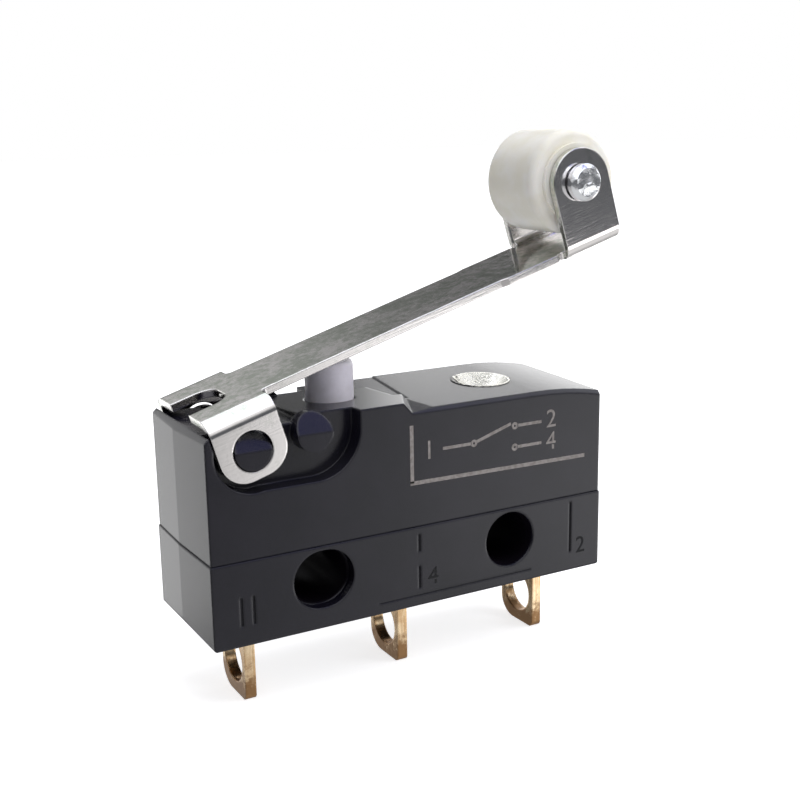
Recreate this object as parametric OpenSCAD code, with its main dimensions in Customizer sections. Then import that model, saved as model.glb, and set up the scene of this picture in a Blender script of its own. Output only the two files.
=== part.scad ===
// Lever micro switch with a hinged roller lever.
// The origin is the axis of the round mounting hole, on the mid-plane of the housing.
// X runs along the housing, Y across it, Z up. Millimetres.

/* [Housing] */
// Length of the housing at the mould's parting line
body_l = 19.8; // [19.6:0.1:20]
// Width of the housing across its two flat sides
body_w = 6.4; // [6.4:0.05:6.6]
// From the round hole's axis down to the underside
hole_drop = 2.2; // [2.1:0.05:2.4]
// From the round hole's axis up to the seam between base and cover
seam_z = 1.47; // [1.45:0.01:1.5]
// Wall of the cover
wall = 0.75; // [0.7:0.05:0.8]
// Radius on the long bottom corners of the base
foot_r = 0.3; // [0.2:0.05:0.4]
// How far each end face leans back from the parting line to a side
end_draft = 0.09; // [0.05:0.01:0.12]

/* [Roof] */
// Height of the low step at the pivot end
low_top = 6.8; // [6.75:0.01:6.82]
// Height of the plateau round the plunger, at the mid-plane
plateau_top = 6.99; // [6.95:0.01:7.02]
// Slope of the plateau, down towards the back
plateau_tilt = 2.5; // [2:0.1:3]
// Height of the roof over the contacts, at the mid-plane
roof_top = 6.86; // [6.8:0.01:6.9]
// Slope of the roof, down towards the front
roof_tilt = 2; // [1.8:0.1:2.4]
// Radius of the long curve that lowers the roof at its far end
roof_end_r = 17; // [15:0.5:19]

/* [Mounting holes] */
// Distance between the two mounting holes
hole_pitch = 9.5; // [9.4:0.05:9.6]
// Diameter of the holes
hole_d = 2.4; // [2.35:0.01:2.42]
// Extra length of the oblong hole
hole_slot = 0.25; // [0.2:0.01:0.3]
// Diameter at the mouth of the shallow flared rim round each hole
rim_d = 2.58; // [2.55:0.01:2.65]
// Depth of that rim
rim_h = 0.5; // [0.3:0.05:0.6]

/* [Terminals] */
// Distance from one terminal to the next
terminal_pitch = 7.6; // [7.5:0.05:7.6]
// Thickness of a terminal
terminal_t = 0.5; // [0.45:0.05:0.5]
// Width of a terminal
terminal_w = 2.65; // [2.6:0.05:2.8]
// How far a terminal reaches below the base
terminal_drop = 3.5; // [3.3:0.1:3.8]
// Diameter of the wire eye
eye_d = 2.05; // [1.9:0.05:2.05]

/* [Lever] */
// Angle of the free lever above the housing
lever_angle = 16.76; // [16.5:0.01:17]
// Thickness of the lever's sheet
sheet = 0.35; // [0.33:0.01:0.36]
// Top of the sheet above the pivot
web_top = 1.845; // [1.83:0.005:1.86]
// Width over the two ears that hold the pivot pegs
yoke_w = 6.2; // [6.16:0.02:6.22]
// Width of the arm
arm_w = 3.7; // [3.5:0.05:3.8]
// Width of the arm's far part
arm_far_w = 3.9; // [3.85:0.05:4]
// Outer radius of the sheet's bends
bend_r = 0.65; // [0.6:0.01:0.7]
// Diameter of the pivot pegs
peg_d = 1.65; // [1.62:0.01:1.68]

/* [Roller] */
// Diameter of the roller
roller_d = 4.8; // [4.7:0.05:4.85]
// Width of the roller over its hubs
roller_w = 4.06; // [4:0.01:4.08]
// Diameter of the roller's axle
axle_d = 1.3; // [1.2:0.05:1.3]

/* [Plunger] */
// Diameter of the plunger's stem
plunger_d = 2.15; // [2.1:0.01:2.2]
// Height of the plunger's top
plunger_top = 8.77; // [8.74:0.01:8.78]

/* [Hidden] */
$fn = 64;
eps = 0.01;

// Housing
half_w = body_w / 2;
left_x = -hole_pitch - 5.1;
right_x = left_x + body_l;
floor_z = -hole_drop;
part_y = 0.35;
base_lip = 0.04;

// Roof: the edges that part its three levels
step_x = -10.0;
ramp_x = -5.28;
pad_x = -4.9;
pad_y = 1.4;
crossing_y = -1.2;
roof_bend_x = 1.6;

// Inner space of the cover
room_left = left_x + 0.8;
room_right = right_x - 0.8;
room_top = 5.9;
room_y = half_w - wall;
pocket_y = 2.4;
narrow_y = pocket_y - 0.7;
narrow_x = -6.9;
narrow_z = 3.7;

// Lever and its pivot
pivot_x = -12.41;
pivot_z = 6.03;
yoke_half = 1.5;
yoke_drop = 1.22;
lobe_r = 1.15;
peg_hole_d = 1.75;
spare_peg_x = -9.64;
spare_peg_z = 6.4;
clevis_start = 17.46;
clevis_end = 20.56;
clevis_w = 4.84;
axle_s = 18.98;
axle_n = 4.745;
widen_s = 13.9;

// Contacts
contact_x = 0.9;
contact_r = 0.8;
blade_t = 0.12;
blade_root_z = 2.8;
blade_crest_z = 4.7;
blade_end_z = 3.7;
blade_root_x = -11.0;
blade_flat_x = -0.3;
blade_half = 1.3;
plunger_x = -7.45;

// Terminals
terminal_x = [-12.3, -12.3 + terminal_pitch, -12.3 + 2 * terminal_pitch];

// Shared shapes

// The housing seen from above: each end has two drafted faces
module plan(grow = 0) {
    w = half_w + grow;
    polygon([
        [left_x - grow + end_draft, -w], [right_x + grow - end_draft, -w],
        [right_x + grow, part_y], [right_x + grow - end_draft, w],
        [left_x - grow + end_draft, w], [left_x - grow, part_y]
    ]);
}

// A shape drawn in X and Z, made as deep as the given half width
module across(half) {
    rotate([90, 0, 0])
        linear_extrude(height = 2 * half, center = true)
            children();
}

// A bar along Y at a place in X and Z
module cross_bar(x, z, d, length) {
    translate([x, 0, z])
        rotate([90, 0, 0])
            cylinder(h = length, d = d, center = true);
}

// A box given by its low corner and its high corner
module block(low, high) {
    translate(low)
        cube(high - low);
}

// Everything past a plane through a point, turned in plan and leaning
module past(point, turn = 0, lean = 0, roll = 0) {
    translate(point)
        rotate([roll, 0, 0])
            rotate([0, 0, turn])
                rotate([0, lean, 0])
                    translate([0, -20, -20])
                        cube([40, 40, 40]);
}

// A bent sheet's cross-section: a web with two legs, drawn web up
module bent_section(half, top, bottom) {
    difference() {
        bent_outline(half, top, bottom, bend_r);
        bent_outline(half - sheet, top - sheet, bottom - 1, bend_r - sheet);
    }
}

module bent_outline(half, top, bottom, r) {
    translate([-half, bottom])
        square([2 * half, top - r - bottom]);
    translate([r - half, bottom])
        square([2 * (half - r), top - bottom]);
    for (side = [-1, 1])
        translate([side * (half - r), top - r])
            circle(r);
}

// A section drawn in Y and Z, run along X between two places
module along(from, to) {
    translate([from, 0, 0])
        rotate([90, 0, 90])
            linear_extrude(height = to - from)
                children();
}

// Base

module base() {
    color([0.24, 0.24, 0.27])
        difference() {
            union() {
                base_shell();
                base_rim();
                block([-4.2, -1.3, seam_z - 0.5], [1.7, 1.3, seam_z + 0.4]);
            }
            mounting_holes();
            for (x = terminal_x)
                block([x - terminal_t / 2, -terminal_w / 2, floor_z - 1],
                      [x + terminal_t / 2, terminal_w / 2, seam_z + 2]);
            base_grooves();
        }
}

module base_shell() {
    intersection() {
        translate([0, 0, floor_z])
            linear_extrude(height = seam_z - floor_z)
                plan(base_lip);
        across(half_w + 1)
            foot_outline();
    }
}

// The base from the front, with its two rounded foot corners
module foot_outline() {
    low = floor_z + foot_r;
    translate([left_x - 1, low])
        square([body_l + 2, seam_z - low]);
    translate([left_x + foot_r, floor_z])
        square([body_l - 2 * foot_r, foot_r + eps]);
    for (x = [left_x + foot_r, right_x - foot_r])
        translate([x, low])
            circle(foot_r + base_lip);
}

// The upstand that the cover slips over
module base_rim() {
    gap = 0.05;
    difference() {
        block([room_left + gap, gap - room_y, seam_z - 0.5],
              [room_right - gap, room_y - gap, seam_z + 0.65]);
        block([room_left + 0.6, 0.6 - room_y, seam_z],
              [room_right - 0.6, room_y - 0.6, seam_z + 1]);
    }
}

module mounting_holes() {
    cross_bar(0, 0, hole_d, body_w + 2);
    for (side = [0, 1])
        mirror([0, side, 0])
            translate([0, half_w + base_lip + eps, 0])
                rotate([90, 0, 0])
                    cylinder(h = rim_h + eps, d1 = rim_d + 0.04, d2 = rim_d - 0.2);
    translate([-hole_pitch, 0, 0]) {
        across(half_w + 1)
            oblong(hole_d);
        for (side = [-1, 1])
            translate([0, side * (half_w + 1 - rim_h / 2), 0])
                across(1 + rim_h / 2)
                    oblong(rim_d);
    }
}

module oblong(d) {
    for (side = [-1, 1])
        translate([side * hole_slot / 2, 0])
            circle(d = d);
    square([hole_slot, d], center = true);
}

// Shallow marks moulded into the front and back faces of the base
module base_grooves() {
    depth = 0.08;
    for (side = [-1, 1]) {
        y = side * (half_w + base_lip);
        for (g = [[-4.82, 0.32, 1.13], [-4.82, -1.4, -0.34], [3.45, -1.29, 1.2],
                  [-13.29, -1.32, -0.06], [-12.74, -1.32, -0.06]])
            block([g[0] - 0.06, y - depth, g[1]], [g[0] + 0.06, y + depth, g[2]]);
        block([-6.9, y - depth / 2, -1.74], [1.2, y + depth / 2, -1.68]);
    }
}

// Cover

module cover() {
    color([0.26, 0.26, 0.29])
        difference() {
            union() {
                difference() {
                    cover_outside();
                    cover_room();
                    for (side = [-1, 1])
                        translate([0, side * (pocket_y + 2), 0])
                            across(2)
                                pocket_outline();
                }
                for (side = [-1, 1]) {
                    peg(side, pivot_x, pivot_z);
                    peg(side, spare_peg_x, spare_peg_z);
                }
            }
            translate([plunger_x, 0, 0])
                cylinder(h = 20, d = plunger_d + 0.1);
            eyelet_seat();
        }
}

module cover_outside() {
    intersection() {
        translate([0, 0, seam_z])
            linear_extrude(height = 10)
                plan();
        union() {
            low_block();
            plateau_block();
            roof_block();
        }
    }
}

// The low end under the lever's tail, with a chamfer on its top edge
module low_block() {
    edge = 0.25;
    across(half_w + 1)
        polygon([
            [left_x - 1, seam_z], [step_x + 1, seam_z], [step_x + 1, low_top],
            [left_x + edge, low_top], [left_x, low_top - edge], [left_x - 1, low_top - edge]
        ]);
}

// The plateau round the plunger, with a sloping and skewed far side at the front
module plateau_block() {
    difference() {
        block([step_x, -half_w - 1, seam_z], [-3, half_w + 1, plateau_top + 1]);
        past([0, 0, plateau_top], lean = -90, roll = -plateau_tilt);
        past([ramp_x, -half_w, plateau_top - 0.1], turn = -25.2, lean = -38);
        block([pad_x, crossing_y, 0], [0, 10, 20]);
        block([pad_x - 1.4, pad_y, 0], [0, 10, 20]);
    }
}

// The roof over the contacts, curving down towards the far end
module roof_block() {
    difference() {
        block([step_x, -half_w - 1, seam_z], [right_x + 1, half_w + 1, roof_top + 1]);
        on_roof() {
            block([step_x - 1, -10, 0], [roof_bend_x, 10, 5]);
            difference() {
                block([roof_bend_x - eps, -10, -0.6], [right_x + 2, 10, 5]);
                cross_bar(roof_bend_x, -roof_end_r, 2 * roof_end_r, 40);
            }
            front_chamfer();
            low_strip();
            dip();
        }
    }
}

// The roof's own frame: 0 in Z is its sloping surface
module on_roof() {
    rotate([roof_tilt, 0, 0])
        translate([0, roof_top * sin(roof_tilt), roof_top])
            children();
}

// The chamfer on the roof's front edge, straight and then round its curved end
module front_chamfer() {
    c = 0.15;
    translate([0, -half_w, -c])
        rotate([45, 0, 0])
            block([-5.1, -1, 0], [roof_bend_x, 1, 1]);
    difference() {
        block([roof_bend_x - eps, -half_w - 1, -1], [right_x + 2, c - half_w, 1]);
        translate([roof_bend_x, c - half_w + eps, -roof_end_r])
            rotate([90, 0, 0])
                cylinder(h = c + 1, r1 = roof_end_r + eps, r2 = roof_end_r - c - 1);
    }
}

// The strip beside the plateau lies a little lower than the roof
module low_strip() {
    translate([0, 0, -0.05])
        linear_extrude(height = 5)
            polygon([[step_x - 1, crossing_y], [-4.15, crossing_y], [-3.5, 4], [step_x - 1, 4]]);
}

// The roof's front corner below the plateau dips away from a skewed crease
module dip() {
    translate([-3.9, -half_w, 0])
        rotate([0, 0, 11.6])
            rotate([0, -5, 0])
                block([-3, -1, 0], [0, 2.05, 3]);
}

module cover_room() {
    difference() {
        block([room_left, -room_y, seam_z - 1], [room_right, room_y, room_top]);
        for (side = [-1, 1])
            translate([0, side * (narrow_y + 2), 0])
                block([left_x, -2, narrow_z], [narrow_x, 2, room_top + 1]);
    }
}

// The recess for a lever ear: it follows the ear, then opens round the spare peg
module pocket_outline() {
    right = -7.58;
    low = pivot_z - 1.7;
    round_r = 2.05;
    translate([pivot_x, pivot_z]) {
        circle(yoke_half + 0.25);
        rotate(lever_angle)
            translate([-yoke_half - 0.1, 0])
                square([2 * yoke_half, 4]);
    }
    translate([pivot_x, low])
        square([right - round_r - pivot_x, 5]);
    translate([pivot_x, low + round_r])
        square([right - pivot_x, 5]);
    translate([right - round_r, low + round_r])
        circle(round_r);
}

// A peg that fills the pocket's depth, its upper half bevelled so the ear can snap over
module peg(side, x, z) {
    bevel = 38;
    difference() {
        translate([x, side * (pocket_y - 0.2 + (half_w - pocket_y + 0.2) / 2), z])
            cross_bar(0, 0, peg_d, half_w - pocket_y + 0.2);
        translate([x, side * half_w, z])
            rotate([side * bevel, 0, 0])
                translate([-2, side > 0 ? 0 : -2, 0])
                    cube([4, 2, 4]);
    }
}

// The dished seat in the roof for the eyelet
module eyelet_seat() {
    eyelet_at()
        translate([0, 0, -0.7])
            cylinder(h = 1.2, r1 = 0.6, r2 = 2);
}

module eyelet_at() {
    on_roof()
        translate([0.55, 0.1, 0])
            children();
}

// A dished metal eyelet, closed at its bottom
module roof_eyelet() {
    color([0.8, 0.8, 0.82])
        eyelet_at()
            rotate_extrude()
                polygon([
                    [0, -0.7], [0.59, -0.7], [1.4, -0.01], [1.4, 0.03],
                    [1.3, 0.03], [0.52, -0.6], [0, -0.6]
                ]);
}

// Terminals

// The blade below the base, drawn in Y and Z: a small front corner and a broad back one
module terminal_face(top) {
    front_r = 0.25;
    back_r = 1;
    low = floor_z - terminal_drop;
    half = terminal_w / 2;
    difference() {
        union() {
            translate([-half, low + back_r])
                square([2 * half, top - low - back_r]);
            translate([-half, low + front_r])
                square([1, 1]);
            translate([front_r - half, low])
                square([2 * half - front_r - back_r, 1.1]);
            translate([front_r - half, low + front_r])
                circle(front_r);
            translate([half - back_r, low + back_r])
                circle(back_r);
        }
        translate([0, low + 1.52])
            circle(d = eye_d);
    }
}

module terminal_blade(x, top) {
    along(x - terminal_t / 2, x + terminal_t / 2)
        terminal_face(top);
}

// Carries the contact blade on its shelf and the tongue's end in its stop
module common_terminal() {
    x = terminal_x[0];
    left = x - terminal_t / 2;
    color([0.78, 0.66, 0.42]) {
        union() {
            terminal_blade(x, seam_z);
            block([left, -1.1, seam_z - 0.2], [left + terminal_t, 1.1, blade_root_z]);
            block([left, -1.1, blade_root_z - terminal_t], [-10.1, 1.1, blade_root_z]);
            block([-10.35, -0.35, blade_root_z - eps], [-10.1, 0.35, blade_root_z + 0.5]);
        }
    }
}

// Runs along the base to the lower fixed contact
module open_terminal() {
    x = terminal_x[1];
    left = x - terminal_t / 2;
    shelf_z = seam_z + 0.4;
    color([0.78, 0.66, 0.42])
        union() {
            terminal_blade(x, seam_z);
            block([left, -1.1, seam_z - 0.2], [left + terminal_t, 1.1, shelf_z + terminal_t]);
            block([left, -1.1, shelf_z], [1.7, 1.1, shelf_z + terminal_t]);
        }
}

// Rises at the far end and bends back over the contacts
module closed_terminal() {
    x = terminal_x[2];
    left = x - terminal_t / 2;
    shelf_z = 4.6;
    color([0.78, 0.66, 0.42])
        union() {
            terminal_blade(x, seam_z);
            block([left, -1.1, seam_z - 0.2], [left + terminal_t, 1.1, shelf_z + terminal_t]);
            block([0, -1.1, shelf_z], [left + terminal_t, 1.1, shelf_z + terminal_t]);
        }
}

// Contacts

// The lower fixed contact: a domed button on the open terminal
module open_contact() {
    low = seam_z + 0.4 + terminal_t;
    top = blade_end_z - 0.3 - 0.51;
    color([0.86, 0.86, 0.84])
        translate([contact_x, 0, 0])
            button(low, top);
}

// The upper fixed contact: the same button, face down
module closed_contact() {
    low = blade_end_z + blade_t + 0.31;
    color([0.86, 0.86, 0.84])
        translate([contact_x, 0, 4.6 + low])
            mirror([0, 0, 1])
                button(low, 4.6);
}

module button(low, top) {
    rotate_extrude()
        polygon([
            [0, low], [contact_r, low], [contact_r, top - 0.12],
            [contact_r - 0.12, top - 0.03], [contact_r - 0.35, top], [0, top]
        ]);
}

// The double-faced rivet on the blade's free end
module moving_contact() {
    low = blade_end_z - 0.3;
    high = blade_end_z + blade_t + 0.3;
    color([0.86, 0.86, 0.84])
        translate([contact_x, 0, 0])
            rotate_extrude()
                polygon([
                    [0, low], [0.4, low], [0.6, low + 0.04], [0.7, low + 0.12],
                    [0.7, blade_end_z], [0.35, blade_end_z],
                    [0.35, blade_end_z + blade_t], [0.7, blade_end_z + blade_t],
                    [0.7, high - 0.12], [0.6, high - 0.04], [0.4, high], [0, high]
                ]);
}

// A smooth rise from 0 to 1
function ease(t) = (1 - cos(180 * min(1, max(0, t)))) / 2;

// Height of the blade's underside along X: root, crest under the plunger, free end
function blade_z(x) = x < plunger_x
    ? blade_root_z + (blade_crest_z - blade_root_z)
        * ease((x - blade_root_x) / (plunger_x - blade_root_x))
    : blade_crest_z - (blade_crest_z - blade_end_z)
        * ease((x - plunger_x) / (blade_flat_x - plunger_x));

tongue_from = -2.0;
tongue_to = -10.05;
tongue_low = blade_root_z + 0.3;

// Height of the tongue's underside, from the blade's bridge back to the stop
function tongue_z(x) = tongue_low + (blade_z(tongue_from) - tongue_low)
    * ease((x - tongue_to) / (tongue_from - tongue_to));

blade_xs = [for (i = [0:36]) -13.0 + i * (1.75 + 13.0) / 36];
tongue_xs = [for (i = [0:20]) tongue_to + i * (tongue_from - tongue_to) / 20];

module strip(points) {
    n = len(points);
    polygon([
        for (p = points) p,
        for (i = [n - 1:-1:0]) points[i] + [0, blade_t]
    ]);
}

// One stamped spring: two side rails over the crest, and a tongue inside the window
module contact_blade() {
    color([0.8, 0.62, 0.35]) {
        difference() {
            across(blade_half)
                strip([for (x = blade_xs) [x, blade_z(x)]]);
            block([-10.5, -0.55, 0], [tongue_from, 0.55, 9]);
            translate([contact_x, 0, 0])
                cylinder(h = 9, r = 0.35);
            translate([-11.7, 0, 0])
                cylinder(h = 9, r = 0.3);
        }
        across(0.35)
            strip(concat([for (x = tongue_xs) [x, tongue_z(x)]],
                         [[tongue_from + 0.1, blade_z(tongue_from)]]));
    }
}

// Holds the blade's root on the shelf
module blade_rivet() {
    color([0.75, 0.7, 0.6])
        translate([-11.7, 0, blade_root_z]) {
            cylinder(h = blade_t, r = 0.3);
            translate([0, 0, blade_t])
                cylinder(h = 0.22, r = 0.55);
        }
}

// Plunger: a stem with a rounded top edge, a retaining collar and a foot
module plunger() {
    r = plunger_d / 2;
    edge = 0.25;
    foot_z = blade_crest_z + blade_t + 0.01;
    color([0.8, 0.78, 0.83])
        translate([plunger_x, 0, 0])
            rotate_extrude()
                polygon(concat(
                    [[0, foot_z], [0.7, foot_z], [0.9, foot_z + 0.2], [0.9, 5.3],
                     [1.45, 5.3], [1.45, 5.8], [r, 5.8]],
                    [for (a = [0:15:90]) [r - edge + edge * cos(a), plunger_top - edge + edge * sin(a)]],
                    [[0, plunger_top]]
                ));
}

// Lever

module in_lever() {
    translate([pivot_x, 0, pivot_z])
        rotate([0, -lever_angle, 0])
            children();
}

// One folded sheet: a yoke over the housing, a plain arm, a clevis for the roller
module lever() {
    color([0.66, 0.67, 0.64])
        in_lever()
            difference() {
                union() {
                    yoke();
                    arm();
                    clevis();
                }
                tail_slot();
                cross_bar(0, 0, peg_hole_d, yoke_w + 2);
                cross_bar(axle_s, axle_n, axle_d, clevis_w + 2);
                corner_reliefs();
            }
}

module yoke() {
    intersection() {
        along(-yoke_half, yoke_half)
            bent_section(yoke_w / 2, web_top, -yoke_drop - 1);
        across(yoke_w)
            yoke_ear();
    }
}

// An ear from the side: straight edges above the pivot, a broad lobe below
module yoke_ear() {
    low = lobe_r - yoke_drop;
    translate([-yoke_half, low])
        square([2 * yoke_half, web_top + 1 - low]);
    translate([lobe_r - yoke_half, -yoke_drop])
        square([2 * (yoke_half - lobe_r), lobe_r + eps]);
    for (side = [-1, 1])
        translate([side * (yoke_half - lobe_r), low])
            circle(lobe_r);
}

// The arm from above: fillets where it leaves the yoke, slightly wider past the plunger
module arm() {
    half = arm_w / 2;
    far = arm_far_w / 2;
    f = 0.25;
    translate([0, 0, web_top - sheet])
        linear_extrude(height = sheet)
            polygon(concat(
                [[1, -half - f]],
                [for (a = [0:15:90]) [yoke_half + f - f * cos(a), -half - f + f * sin(a)]],
                [[widen_s, -half], [widen_s + 0.4, -far], [clevis_start + 0.5, -far],
                 [clevis_start + 0.5, far], [widen_s + 0.4, far], [widen_s, half]],
                [for (a = [90:-15:0]) [yoke_half + f - f * cos(a), half + f - f * sin(a)]],
                [[1, half + f]]
            ));
}

module clevis() {
    intersection() {
        translate([0, 0, 2 * web_top - sheet])
            mirror([0, 0, 1])
                along(clevis_start, clevis_end)
                    bent_section(clevis_w / 2, web_top, -axle_n - 3);
        across(clevis_w)
            clevis_ear();
    }
}

// A clevis ear from the side: round about the axle
module clevis_ear() {
    mid = (clevis_start + clevis_end) / 2;
    half = (clevis_end - clevis_start) / 2;
    translate([mid, axle_n])
        circle(half);
    translate([mid - half, 0])
        square([2 * half, axle_n]);
}

// The tail's open slot, with rounded inner corners
module tail_slot() {
    half = 1.15;
    end = 0.44;
    r = 0.8;
    translate([0, 0, web_top - 1])
        linear_extrude(height = 2) {
            translate([-yoke_half - 1, -half])
                square([yoke_half + 1 + end - r, 2 * half]);
            translate([-yoke_half - 1, r - half])
                square([yoke_half + 1 + end, 2 * (half - r)]);
            for (side = [-1, 1])
                translate([end - r, side * (half - r)])
                    circle(r);
        }
}

// Small notches where the clevis bends leave the arm
module corner_reliefs() {
    r = 0.2;
    for (side = [-1, 1])
        translate([clevis_start - r / 2, side * (arm_far_w / 2 + 0.02), web_top - 1])
            cylinder(h = 2, r = r);
}

// The axle, upset into a chamfered head outside each ear
module roller_pin() {
    r = axle_d / 2;
    head_r = 0.85;
    face = clevis_w / 2;
    half = [[0, 0], [r, 0], [r, face + 0.1], [head_r, face + 0.1], [head_r, face + 0.35],
            [head_r - 0.2, face + 0.55], [0, face + 0.6]];
    color([0.82, 0.82, 0.84])
        at_axle()
            for (side = [0, 1])
                mirror([0, 0, side])
                    rotate_extrude()
                        polygon(half);
}

module at_axle() {
    in_lever()
        translate([axle_s, 0, axle_n])
            rotate([90, 0, 0])
                children();
}

// Moulded roller with rounded edges, a raised hub on each face and a plain bore
module roller() {
    r = roller_d / 2;
    bore_r = axle_d / 2 + 0.05;
    hub_r = 1.75;
    edge = 0.35;
    body = 1.85;
    hub = roller_w / 2;
    color([0.9, 0.89, 0.84])
        at_axle()
            rotate_extrude()
                polygon(concat(
                    [[bore_r, -hub], [hub_r, -hub], [hub_r, -body]],
                    [for (a = [-90:15:0]) [r - edge + edge * cos(a), edge - body + edge * sin(a)]],
                    [for (a = [0:15:90]) [r - edge + edge * cos(a), body - edge + edge * sin(a)]],
                    [[hub_r, body], [hub_r, hub], [bore_r, hub]]
                ));
}

base();
cover();
roof_eyelet();
common_terminal();
open_terminal();
closed_terminal();
open_contact();
closed_contact();
moving_contact();
contact_blade();
blade_rivet();
plunger();
lever();
roller_pin();
roller();
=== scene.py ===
import bpy
import math
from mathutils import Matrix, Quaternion, Vector


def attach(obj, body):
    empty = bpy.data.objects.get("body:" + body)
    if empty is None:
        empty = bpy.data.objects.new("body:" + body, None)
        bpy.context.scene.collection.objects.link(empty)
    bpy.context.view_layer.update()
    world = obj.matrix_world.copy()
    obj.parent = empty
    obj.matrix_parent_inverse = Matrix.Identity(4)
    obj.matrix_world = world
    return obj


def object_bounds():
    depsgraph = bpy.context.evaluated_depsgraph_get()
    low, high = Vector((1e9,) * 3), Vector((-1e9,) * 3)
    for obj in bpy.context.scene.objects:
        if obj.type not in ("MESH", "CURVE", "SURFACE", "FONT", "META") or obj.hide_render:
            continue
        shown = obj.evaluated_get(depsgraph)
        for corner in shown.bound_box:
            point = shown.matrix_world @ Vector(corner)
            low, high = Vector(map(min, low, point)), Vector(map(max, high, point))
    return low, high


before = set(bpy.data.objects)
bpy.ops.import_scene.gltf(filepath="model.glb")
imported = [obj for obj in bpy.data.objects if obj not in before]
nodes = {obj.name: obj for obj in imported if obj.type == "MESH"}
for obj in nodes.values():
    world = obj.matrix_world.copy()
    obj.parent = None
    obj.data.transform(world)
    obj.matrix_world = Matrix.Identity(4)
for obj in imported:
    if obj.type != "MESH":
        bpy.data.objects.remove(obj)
cadBox = [list(corner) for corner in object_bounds()]
mm = 0.001
print("frame loaded:", len(nodes), "nodes")


# Shader helpers: a wrapped socket does arithmetic, a graph makes every node

class Value:
    def __init__(self, graph, socket):
        self.graph = graph
        self.socket = socket

    def maths(self, operation, first, second=0.0, third=0.0):
        return self.graph.node("ShaderNodeMath", {"operation": operation},
                               {0: first, 1: second, 2: third})

    def __add__(self, other):
        return self.maths("ADD", self, other)

    def __radd__(self, other):
        return self.maths("ADD", other, self)

    def __sub__(self, other):
        return self.maths("SUBTRACT", self, other)

    def __rsub__(self, other):
        return self.maths("SUBTRACT", other, self)

    def __mul__(self, other):
        return self.maths("MULTIPLY", self, other)

    def __rmul__(self, other):
        return self.maths("MULTIPLY", other, self)

    def __truediv__(self, other):
        return self.maths("DIVIDE", self, other)

    def __rtruediv__(self, other):
        return self.maths("DIVIDE", other, self)

    def __pow__(self, other):
        return self.maths("POWER", self, other)

    def smooth(self, low, high):
        return self.graph.node("ShaderNodeMapRange", {"interpolation_type": "SMOOTHSTEP"},
                               {"Value": self, "From Min": low, "From Max": high})

    def mix(self, low, high):
        # low where this value is 0, high where it is 1
        return self.graph.node("ShaderNodeMix", {"data_type": "RGBA"},
                               {0: self, 6: low, 7: high}, 2)


class Graph:
    def __init__(self, tree):
        self.tree = tree
        tree.nodes.clear()

    def node(self, kind, settings=None, values=None, output=0):
        made = self.tree.nodes.new(kind)
        for name, value in (settings or {}).items():
            if name == "stops":
                self.setStops(made.color_ramp, value)
            else:
                setattr(made, name, value)
        for key, value in (values or {}).items():
            if isinstance(value, Value):
                self.tree.links.new(value.socket, made.inputs[key])
            else:
                made.inputs[key].default_value = value
        return Value(self, made.outputs[output]) if made.outputs else made

    def setStops(self, ramp, stops):
        while len(ramp.elements) < len(stops):
            ramp.elements.new(1.0)
        for element, (position, colour) in zip(ramp.elements, stops):
            element.position = position
            element.color = colour

    def place(self, stretch=(1, 1, 1), turn=0.0):
        # object coordinates in millimetres, turned about Y, then stretched
        coords = self.node("ShaderNodeTexCoord", output="Object")
        turned = self.node("ShaderNodeVectorRotate", {"rotation_type": "Y_AXIS"},
                           {"Vector": coords, "Angle": turn})
        return self.node("ShaderNodeVectorMath", {"operation": "MULTIPLY"},
                         {0: turned, 1: [s / mm for s in stretch]})

    def noise(self, place, scale, detail=3.0, roughness=0.55):
        return self.node("ShaderNodeTexNoise", {"noise_dimensions": "3D"},
                         {"Vector": place, "Scale": scale, "Detail": detail,
                          "Roughness": roughness})

    def ramp(self, value, stops):
        return self.node("ShaderNodeValToRGB", {"stops": stops}, {"Fac": value})

    def bump(self, height, depth, edge=0.0):
        # depth of the relief and radius of the softened edges, in millimetres
        values = {"Height": height, "Distance": depth * mm}
        if edge:
            values["Normal"] = self.node("ShaderNodeBevel", {"samples": 6}, {"Radius": edge * mm})
        return self.node("ShaderNodeBump", None, values)

    def axis(self, place, name):
        return self.node("ShaderNodeSeparateXYZ", None, {0: place}, name)


def newMaterial(name, finish):
    material = bpy.data.materials.new(name)
    material.use_nodes = True
    graph = Graph(material.node_tree)
    values = finish(graph)
    hollow = values.pop("hollow", None)
    shader = graph.node("ShaderNodeBsdfPrincipled", None, values)
    if hollow:
        # painted shade: over the deep bores a near-black diffuse is mixed in, so they return next
        # to no light
        paintedShade = graph.node("ShaderNodeBsdfDiffuse", None, {"Color": housing["bore"]})
        shader = graph.node("ShaderNodeMixShader", None, {0: hollow, 1: shader, 2: paintedShade})
    graph.node("ShaderNodeOutputMaterial", None, {"Surface": shader})
    return material


def dress(name, material):
    mesh = nodes[name].data
    mesh.materials.clear()
    mesh.materials.append(material)


def shade(level, tint=(1, 1, 1)):
    return (level * tint[0], level * tint[1], level * tint[2], 1.0)


# Moulded housing: near-black plastic with a fine spark-eroded grain

housing = {
    "dark": (0.004, 0.004, 0.009, 1), "pale": (0.009, 0.008, 0.015, 1),
    "cloudScale": 0.5, "grainScale": 16.0, "grainDepth": 0.003, "speckScale": 5.0,
    "rough": 0.17, "roughSpread": 0.10, "speckShine": 0.08, "edge": 0.14, "ior": 1.47,
    "bore": (0.004, 0.003, 0.005, 1), "boreRadius": 1.26, "boreRim": 1.30, "boreDepth": 0.92,
    "bores": [(0.0, 1.0), (-9.5, 0.9)],       # middle of each bore in X, squeeze of the oblong one
}


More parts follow.
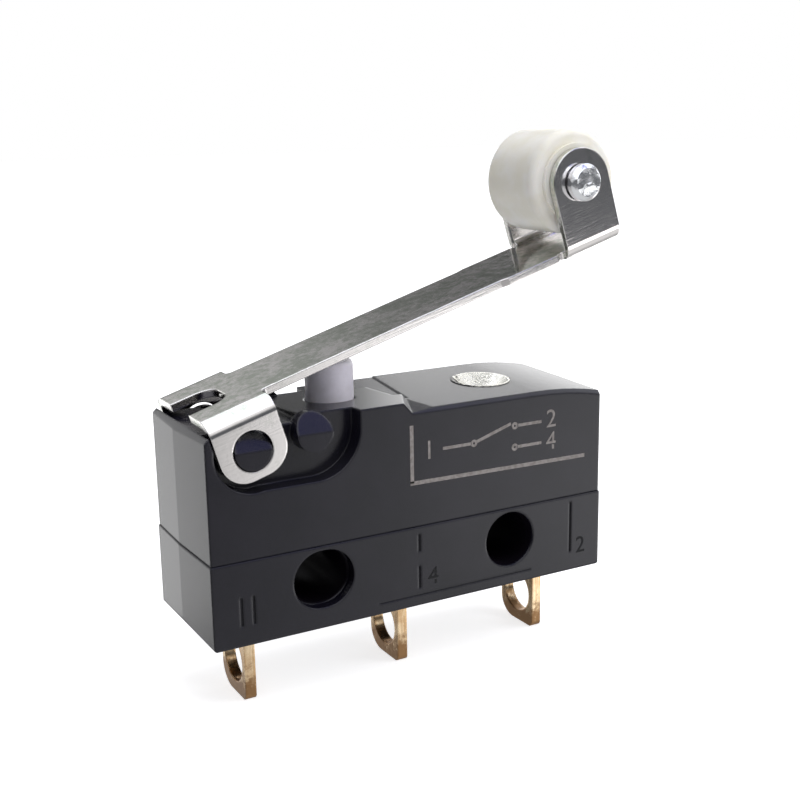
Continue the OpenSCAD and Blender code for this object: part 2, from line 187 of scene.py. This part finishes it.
def housingFinish(graph):
    place = graph.place()
    clouds = graph.noise(place, housing["cloudScale"], 4.0)
    grain = graph.noise(place, housing["grainScale"], 2.0, 0.7)
    specks = graph.noise(place, housing["speckScale"], 3.0, 0.8).smooth(0.62, 0.74)
    tone = (0.65 * clouds + 0.35 * grain).smooth(0.3, 0.7)
    x = graph.axis(place, "X")
    z = graph.axis(place, "Z")
    # painted shade: a round mask over each bore, where newMaterial mixes in the near-black diffuse
    hollow = 0.0
    for middle, squeeze in housing["bores"]:
        distance = (((x - middle) * squeeze) ** 2 + z ** 2) ** 0.5
        hollow = distance.smooth(housing["boreRim"], housing["boreRadius"]) + hollow
    return {
        "hollow": housing["boreDepth"] * hollow,
        "Base Color": tone.mix(housing["dark"], housing["pale"]),
        "Roughness": housing["rough"] + housing["roughSpread"] * grain
        - housing["speckShine"] * specks,
        "IOR": housing["ior"],
        "Normal": graph.bump(grain, housing["grainDepth"], housing["edge"]),
    }


housingPlastic = newMaterial("housingPlastic", housingFinish)
dress("base", housingPlastic)
dress("cover", housingPlastic)
print("housing finished")


# Folded lever: satin stainless sheet, rolled along the arm and slightly mottled

leverSheet = {
    "angle": math.radians(16.76), "bright": (0.90, 0.87, 0.86, 1), "dull": (0.52, 0.56, 0.49, 1),
    "mottleScale": 2.6, "patchScale": 0.45, "rolling": (0.6, 14, 14), "relief": 0.004,
    "rough": 0.06, "streaks": 0.05, "mottle": 0.06, "edge": 0.09,
}


def leverFinish(graph):
    turn = leverSheet["angle"]
    place = graph.place(turn=turn)
    mottle = graph.noise(place, leverSheet["mottleScale"], 5.0, 0.75)
    patches = graph.noise(place, leverSheet["patchScale"], 3.0)
    lines = graph.noise(graph.place(leverSheet["rolling"], turn), 1.0, 3.0, 0.6)
    # painted sheen: faces turned to the front or back, the ears and the sheared edges, are painted
    # brighter than the rolled faces
    normal = graph.node("ShaderNodeTexCoord", output="Normal")
    paintedBrightSides = (graph.axis(normal, "Y") ** 2).smooth(0.3, 0.7)
    tone = (0.6 * mottle + 0.4 * patches).smooth(0.40, 0.60) + 0.8 * paintedBrightSides
    return {
        "Base Color": tone.mix(leverSheet["dull"], leverSheet["bright"]),
        "Metallic": 1.0,
        "Roughness": leverSheet["rough"] + leverSheet["streaks"] * lines
        + leverSheet["mottle"] * mottle,
        "Normal": graph.bump(0.5 * lines + 0.5 * mottle, leverSheet["relief"], leverSheet["edge"]),
    }


dress("lever", newMaterial("leverSteel", leverFinish))
print("lever finished")


# Axle: bright turned steel, its ends hammered into shallow facets

axle = {
    "colour": (0.78, 0.79, 0.82, 1), "rough": 0.16, "roughSpread": 0.14,
    "facetScale": 2.2, "facetDepth": 0.05, "dentScale": 9.0,
}


def axleFinish(graph):
    place = graph.place()
    facets = graph.node("ShaderNodeTexVoronoi", {"feature": "F1"},
                        {"Vector": place, "Scale": axle["facetScale"]})
    dents = graph.noise(place, axle["dentScale"], 3.0)
    return {
        "Base Color": axle["colour"],
        "Metallic": 1.0,
        "Roughness": axle["rough"] + axle["roughSpread"] * dents,
        "Normal": graph.bump(facets + 0.2 * dents, axle["facetDepth"]),
    }


dress("roller_pin", newMaterial("axleSteel", axleFinish))


# Roller: ivory moulding with faint flow marks

roller = {
    "cream": (0.86, 0.83, 0.73, 1), "milk": (0.92, 0.90, 0.85, 1), "rough": 0.30,
    "roughSpread": 0.12, "flowScale": 0.6, "fineScale": 12.0, "relief": 0.004,
    "glow": 0.15, "glowRadius": (0.0012, 0.001, 0.0007),
}


def rollerFinish(graph):
    place = graph.place()
    flow = graph.noise(place, roller["flowScale"], 3.0)
    fine = graph.noise(place, roller["fineScale"], 2.0)
    return {
        "Base Color": flow.smooth(0.35, 0.65).mix(roller["cream"], roller["milk"]),
        "Roughness": roller["rough"] + roller["roughSpread"] * fine,
        "Subsurface Weight": roller["glow"],
        "Subsurface Radius": roller["glowRadius"],
        "Normal": graph.bump(fine, roller["relief"]),
    }


dress("roller", newMaterial("rollerPlastic", rollerFinish))


# Plunger: smooth pale lilac-grey moulding

plunger = {
    "low": (0.74, 0.71, 0.79, 1), "high": (0.84, 0.81, 0.91, 1), "rough": 0.32,
    "roughSpread": 0.15, "hazeScale": 1.2, "fineScale": 14.0, "relief": 0.004,
    "glow": 0.1, "glowRadius": (0.001, 0.0009, 0.0008),
}


def plungerFinish(graph):
    place = graph.place()
    haze = graph.noise(place, plunger["hazeScale"], 3.0)
    fine = graph.noise(place, plunger["fineScale"], 2.0)
    return {
        "Base Color": haze.smooth(0.3, 0.7).mix(plunger["low"], plunger["high"]),
        "Roughness": plunger["rough"] + plunger["roughSpread"] * fine,
        "Subsurface Weight": plunger["glow"],
        "Subsurface Radius": plunger["glowRadius"],
        "Normal": graph.bump(fine, plunger["relief"]),
    }


dress("plunger", newMaterial("plungerPlastic", plungerFinish))
print("roller and plunger finished")


# Terminals: satin brass with light drawing lines, darker and browner towards the tips

terminal = {
    "gold": (0.62, 0.41, 0.22, 1), "tin": (0.90, 0.70, 0.46, 1), "brown": (0.30, 0.17, 0.08, 1),
    "rough": 0.12, "roughSpread": 0.12, "edge": 0.10, "brownFrom": -3.4, "brownTo": -5.9,
    "drawing": (8, 8, 0.5), "cloudScale": 0.9, "spotScale": 2.4, "relief": 0.006,
}


def terminalFinish(graph):
    place = graph.place()
    lines = graph.noise(graph.place(terminal["drawing"]), 1.0, 3.0)
    clouds = graph.noise(place, terminal["cloudScale"], 4.0)
    spots = graph.noise(place, terminal["spotScale"], 4.0, 0.7)
    metal = (0.6 * clouds + 0.4 * lines).smooth(0.40, 0.60).mix(terminal["gold"], terminal["tin"])
    # darker and browner towards the tips, with random brown spots
    depth = graph.axis(place, "Z").smooth(terminal["brownFrom"], terminal["brownTo"])
    browning = (0.55 * depth + spots).smooth(0.62, 0.95)
    return {
        "Base Color": browning.mix(metal, terminal["brown"]),
        "Metallic": 1.0,
        "Roughness": terminal["rough"] + terminal["roughSpread"] * (lines + browning),
        "Normal": graph.bump(lines, terminal["relief"], terminal["edge"]),
    }


terminalMetal = newMaterial("terminalMetal", terminalFinish)
for name in ("common_terminal", "open_terminal", "closed_terminal"):
    dress(name, terminalMetal)


# Eyelet: bright pressed metal, creased like foil; the creases and its left side are darkened with
# painted shade

eyelet = {
    "foil": (0.90, 0.88, 0.80, 1), "paintedShade": (0.05, 0.045, 0.04, 1), "rough": 0.16,
    "roughSpread": 0.2, "creaseScale": 2.6, "creaseDepth": 0.09, "shadeFrom": -0.9, "shadeTo": 1.0,
}


def eyeletFinish(graph):
    place = graph.place()
    creases = graph.noise(place, eyelet["creaseScale"], 5.0, 0.7)
    # painted shade: the creases and the left side of the cup are mixed towards near-black
    wall = graph.axis(place, "X").smooth(eyelet["shadeFrom"], eyelet["shadeTo"])
    tone = (creases + 0.3 * wall).smooth(0.52, 0.64)
    return {
        "Base Color": tone.mix(eyelet["paintedShade"], eyelet["foil"]),
        "Metallic": 1.0,
        "Roughness": eyelet["rough"] + eyelet["roughSpread"] * creases,
        "Normal": graph.bump(creases, eyelet["creaseDepth"]),
    }


dress("roof_eyelet", newMaterial("eyeletMetal", eyeletFinish))


# Inner metal: silver alloy contacts and a copper alloy spring

contactSilver = {"colour": (0.80, 0.80, 0.78, 1), "rough": 0.3, "markScale": 4.0, "relief": 0.006}
bladeCopper = {"colour": (0.74, 0.50, 0.27, 1), "rough": 0.26, "markScale": 4.0, "relief": 0.006}


def metalFinish(settings):
    def finish(graph):
        dents = graph.noise(graph.place(), settings["markScale"], 4.0)
        return {
            "Base Color": dents.mix(shade(0.8, settings["colour"]), settings["colour"]),
            "Metallic": 1.0,
            "Roughness": settings["rough"] + 0.15 * dents,
            "Normal": graph.bump(dents, settings["relief"]),
        }
    return finish


silver = newMaterial("contactSilver", metalFinish(contactSilver))
for name in ("open_contact", "closed_contact", "moving_contact"):
    dress(name, silver)
copper = newMaterial("bladeCopper", metalFinish(bladeCopper))
for name in ("contact_blade", "blade_rivet"):
    dress(name, copper)
print("metals finished")


# Printed and moulded marks on the front: a frame line, a changeover contact diagram with
# its contact numbers, and the two numbers moulded beside the grooves; sizes in millimetres

marks = {
    "line": 0.18, "fine": 0.14, "ring": 0.17, "ringLine": 0.112, "thick": 0.02, "sunk": 0.012,
    "numberSize": 1.2, "mouldedSize": 1.15, "rough": 0.5, "wearScale": 6.0,
    "ink": (0.30, 0.275, 0.265, 1), "worn": (0.20, 0.18, 0.17, 1),
    "shadow": (0.003, 0.003, 0.004, 1),
    "coverFace": -3.2, "baseFace": -3.24,
}
frameLine = [((-5.12, 6.10), (-5.12, 3.50)), ((-5.21, 3.50), (4.25, 3.38))]
contactLines = [
    ((-3.55, 4.85), (-2.05, 4.85)), ((-1.80, 4.90), (0.05, 5.48)),
    ((0.40, 5.35), (1.75, 5.35)), ((0.40, 4.35), (1.75, 4.35)),
]
contactRings = [(-1.93, 4.85), (0.27, 5.35), (0.27, 4.35)]
contactNumbers = [("1", -4.25, 4.85), ("2", 2.30, 5.38), ("4", 2.30, 4.32)]
mouldedNumbers = [("4", -4.12, -0.98), ("2", 4.07, -1.07)]


def settle(part, x, z, turn=0.0):
    # stands a flat part up to face the front, turned in its own plane
    part.location = (x * mm, 0, z * mm)
    part.rotation_euler = (math.pi / 2, -turn, 0)
    bpy.ops.object.transform_apply(location=True, rotation=True, scale=True)
    return part


def addStroke(start, end, width):
    bpy.ops.mesh.primitive_plane_add(size=mm)
    part = bpy.context.active_object
    run, rise = end[0] - start[0], end[1] - start[1]
    part.scale = (math.hypot(run, rise), width, 1)
    return settle(part, (start[0] + end[0]) / 2, (start[1] + end[1]) / 2, math.atan2(rise, run))


def addRing(x, z, radius, width):
    bpy.ops.mesh.primitive_circle_add(vertices=24, radius=radius * mm, fill_type="NGON")
    part = bpy.context.active_object
    bpy.ops.object.mode_set(mode="EDIT")
    bpy.ops.mesh.select_all(action="SELECT")
    bpy.ops.mesh.inset(thickness=width * mm)
    bpy.ops.mesh.delete(type="FACE")
    bpy.ops.object.mode_set(mode="OBJECT")
    return settle(part, x, z)


def addNumber(text, x, z, size):
    bpy.ops.object.text_add()
    part = bpy.context.active_object
    part.data.body = text
    part.data.size = size * mm
    part.data.align_x = "CENTER"
    part.data.align_y = "CENTER"
    bpy.ops.object.convert(target="MESH")
    return settle(bpy.context.active_object, x, z)


def finishMark(name, parts, face, material):
    bpy.ops.object.select_all(action="DESELECT")
    for part in parts:
        part.select_set(True)
    bpy.context.view_layer.objects.active = parts[0]
    bpy.ops.object.join()
    mark = bpy.context.active_object
    mark.name = name
    mark.location = (0, (face + marks["sunk"]) * mm, 0)
    bpy.ops.object.transform_apply(location=True, rotation=False, scale=False)
    wall = mark.modifiers.new("thickness", "SOLIDIFY")
    wall.thickness = marks["thick"] * mm
    wall.offset = 1
    bpy.ops.object.modifier_apply(modifier=wall.name)
    mark.data.materials.clear()
    mark.data.materials.append(material)
    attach(mark, "housing")
    bpy.ops.object.select_all(action="DESELECT")


def inkFinish(graph):
    wear = graph.noise(graph.place(), marks["wearScale"], 4.0, 0.7)
    return {
        "Base Color": wear.smooth(0.4, 0.6).mix(marks["worn"], marks["ink"]),
        "Roughness": marks["rough"] + 0.1 * wear,
    }


def shadowFinish(graph):
    grain = graph.noise(graph.place(), housing["grainScale"])
    return {"Base Color": marks["shadow"], "Roughness": 0.6 + 0.3 * grain}


bpy.ops.object.select_all(action="DESELECT")
ink = newMaterial("markInk", inkFinish)
finishMark("printedFrame", [addStroke(*ends, marks["line"]) for ends in frameLine],
           marks["coverFace"], ink)
diagram = [addStroke(*ends, marks["fine"]) for ends in contactLines]
diagram += [addRing(x, z, marks["ring"], marks["ringLine"]) for x, z in contactRings]
diagram += [addNumber(text, x, z, marks["numberSize"]) for text, x, z in contactNumbers]
finishMark("contactDiagram", diagram, marks["coverFace"], ink)
finishMark("mouldedNumbers",
           [addNumber(text, x, z, marks["mouldedSize"]) for text, x, z in mouldedNumbers],
           marks["baseFace"], newMaterial("markShadow", shadowFinish))
print("marks finished")


# Floor: a pale sheet that keeps the soft shadows under the terminals and fades to white
# further out; size and distances in metres

stage = {
    "size": 1.6, "colour": (0.80, 0.80, 0.84, 1), "lift": 0.74, "farLift": 1.0,
    "liftFrom": 0.02, "liftTo": 0.12,
}


def buildFloor():
    low = cadBox[0][2]
    bpy.ops.mesh.primitive_plane_add(size=stage["size"], location=(0, 0, low))
    floor = bpy.context.active_object
    floor.name = "floor"
    material = bpy.data.materials.new("floorSheet")
    material.use_nodes = True
    graph = Graph(material.node_tree)
    rays = graph.node("ShaderNodeLightPath", output="Is Camera Ray")
    glossy = graph.node("ShaderNodeLightPath", output="Is Glossy Ray")
    sheet = graph.node("ShaderNodeBsdfDiffuse", None, {"Color": stage["colour"]})
    coords = graph.node("ShaderNodeTexCoord", output="Object")
    away = graph.node("ShaderNodeVectorMath", {"operation": "LENGTH"}, {0: coords}, "Value")
    away = away.smooth(stage["liftFrom"], stage["liftTo"])
    lift = stage["lift"] + (stage["farLift"] - stage["lift"]) * away
    glow = graph.node("ShaderNodeEmission", None, {"Strength": rays * lift})
    lit = graph.node("ShaderNodeAddShader", None, {0: sheet, 1: glow})
    clear = graph.node("ShaderNodeBsdfTransparent")
    shown = graph.node("ShaderNodeMixShader", None, {0: glossy, 1: lit, 2: clear})
    graph.node("ShaderNodeOutputMaterial", None, {"Surface": shown})
    floor.data.materials.append(material)


# World: white to the camera, plain grey as light, and in reflections a room: a white sheet
# behind and below, dim walls and a bright ceiling with a gap; each ramp runs from left to right

room = {
    "light": 0.36, "sweepEdge": (0.315, 0.345), "tableEdge": (-0.165, -0.125),
    "nearEdge": (-0.425, -0.385), "sideEdge": (-0.04, 0.04), "duskEdge": (0.05, 0.40),
    "sweep": [(0.0, 0.1), (0.235, 0.1), (0.27, 1.6), (0.42, 1.6), (0.50, 0.22), (0.745, 0.22),
              (0.775, 1.9), (1.0, 1.9)],
    "wall": [(0.0, 0.1), (0.24, 0.1), (0.35, 0.5), (0.5, 0.7), (0.60, 0.48), (0.675, 0.2),
             (0.775, 0.05), (1.0, 0.04)],
    "table": [(0.0, 0.4), (0.66, 0.4), (0.72, 0.8), (0.76, 1.0), (0.88, 1.9), (1.0, 1.9)],
    "nearBack": shade(0.5), "nearFront": shade(0.75),
    "dusk": shade(0.11, (0.93, 0.97, 1.05)), "glow": shade(0.95),
    "ceiling": shade(1.7, (0.96, 0.98, 1.05)), "gap": (0.22, 0.24, 0.75, 1),
    "sill": 0.06, "sillEdge": (0.74, 0.68), "eaves": (0.44, 0.60),
    "gapLeft": (0.20, 0.30), "gapRight": (0.52, 0.46), "gapDepth": (-0.05, -0.2),
}


def buildWorld():
    world = bpy.data.worlds.new("studio")
    bpy.context.scene.world = world
    world.use_nodes = True
    graph = Graph(world.node_tree)
    seen = graph.node("ShaderNodeLightPath", output="Is Camera Ray")
    glossy = graph.node("ShaderNodeLightPath", output="Is Glossy Ray")
    towards = graph.node("ShaderNodeTexCoord", output="Generated")
    right = graph.axis(towards, "X")
    depth = graph.axis(towards, "Y")
    height = graph.axis(towards, "Z")
    away = graph.node("ShaderNodeMath", {"operation": "ABSOLUTE"}, {0: depth}) + 0.001
    side = 0.5 + 0.5 * right / away          # 0.5 straight ahead, 1 at 45 degrees to the right
    sweep, wall, table = (graph.ramp(side, [(at, shade(level)) for at, level in room[name]])
                          for name in ("sweep", "wall", "table"))
    nearby = height.smooth(*room["nearEdge"])
    sweep = nearby.mix(room["nearBack"], sweep)
    table = nearby.mix(room["nearFront"], table)
    back = height.smooth(*room["sweepEdge"]).mix(sweep, wall)
    front = height.smooth(*room["duskEdge"]).mix(room["dusk"], room["glow"])
    drop = height + room["sill"] * side.smooth(*room["sillEdge"])
    front = drop.smooth(*room["tableEdge"]).mix(table, front)
    around = depth.smooth(*room["sideEdge"]).mix(front, back)
    gap = right.smooth(*room["gapLeft"]) * right.smooth(*room["gapRight"])
    gap = gap * depth.smooth(*room["gapDepth"])
    ceiling = gap.mix(room["ceiling"], room["gap"])
    around = height.smooth(*room["eaves"]).mix(around, ceiling)
    light = glossy.mix(shade(room["light"]), around)
    light = graph.node("ShaderNodeBackground", None, {"Color": seen.mix(light, shade(1.0))})
    graph.node("ShaderNodeOutputWorld", None, {"Surface": light})


# Soft boxes: brightness is what a mirror would show, but the room stands in for them there

softBoxes = {
    "overhead": {"place": (30, -30, 150), "size": 150, "brightness": 2.6},
    "rightFront": {"place": (150, -100, 70), "size": 110, "brightness": 3.4},
}
aim = Vector((-3, 0, 6)) * mm


def buildLights():
    for name, box in softBoxes.items():
        light = bpy.data.lights.new(name, "AREA")
        light.size = box["size"] * mm
        light.energy = box["brightness"] * math.pi * light.size ** 2
        lamp = bpy.data.objects.new(name, light)
        lamp.location = Vector(box["place"]) * mm
        lamp.rotation_mode = "QUATERNION"
        lamp.rotation_quaternion = (aim - lamp.location).to_track_quat("-Z", "Y")
        lamp.visible_glossy = False
        bpy.context.scene.collection.objects.link(lamp)


# Camera: azimuth and elevation as the viewer walks round, roll about the line of sight

lens = {
    "target": (-6.475, -4.65, 7.695), "distance": 50.0,
    "azimuth": -29.15, "elevation": 13.09, "roll": -0.94, "focal": 54.57,
}


def buildCamera():
    a = math.radians(lens["azimuth"])
    e = math.radians(lens["elevation"])
    back = Vector((math.sin(a) * math.cos(e), -math.cos(a) * math.cos(e), math.sin(e)))
    camera = bpy.data.cameras.new("camera")
    camera.sensor_width = 36
    camera.lens = lens["focal"]
    camera.clip_start = 0.001
    camera.clip_end = 10
    holder = bpy.data.objects.new("camera", camera)
    holder.location = Vector(lens["target"]) * mm + back * lens["distance"] * mm
    holder.rotation_mode = "QUATERNION"
    roll = Quaternion((0, 0, 1), math.radians(lens["roll"]))
    holder.rotation_quaternion = (-back).to_track_quat("-Z", "Y") @ roll
    bpy.context.scene.collection.objects.link(holder)
    bpy.context.scene.camera = holder


bpy.ops.object.select_all(action="DESELECT")
buildCamera()
buildFloor()
buildWorld()
buildLights()
bpy.context.scene.view_settings.view_transform = "Standard"
print("studio built")
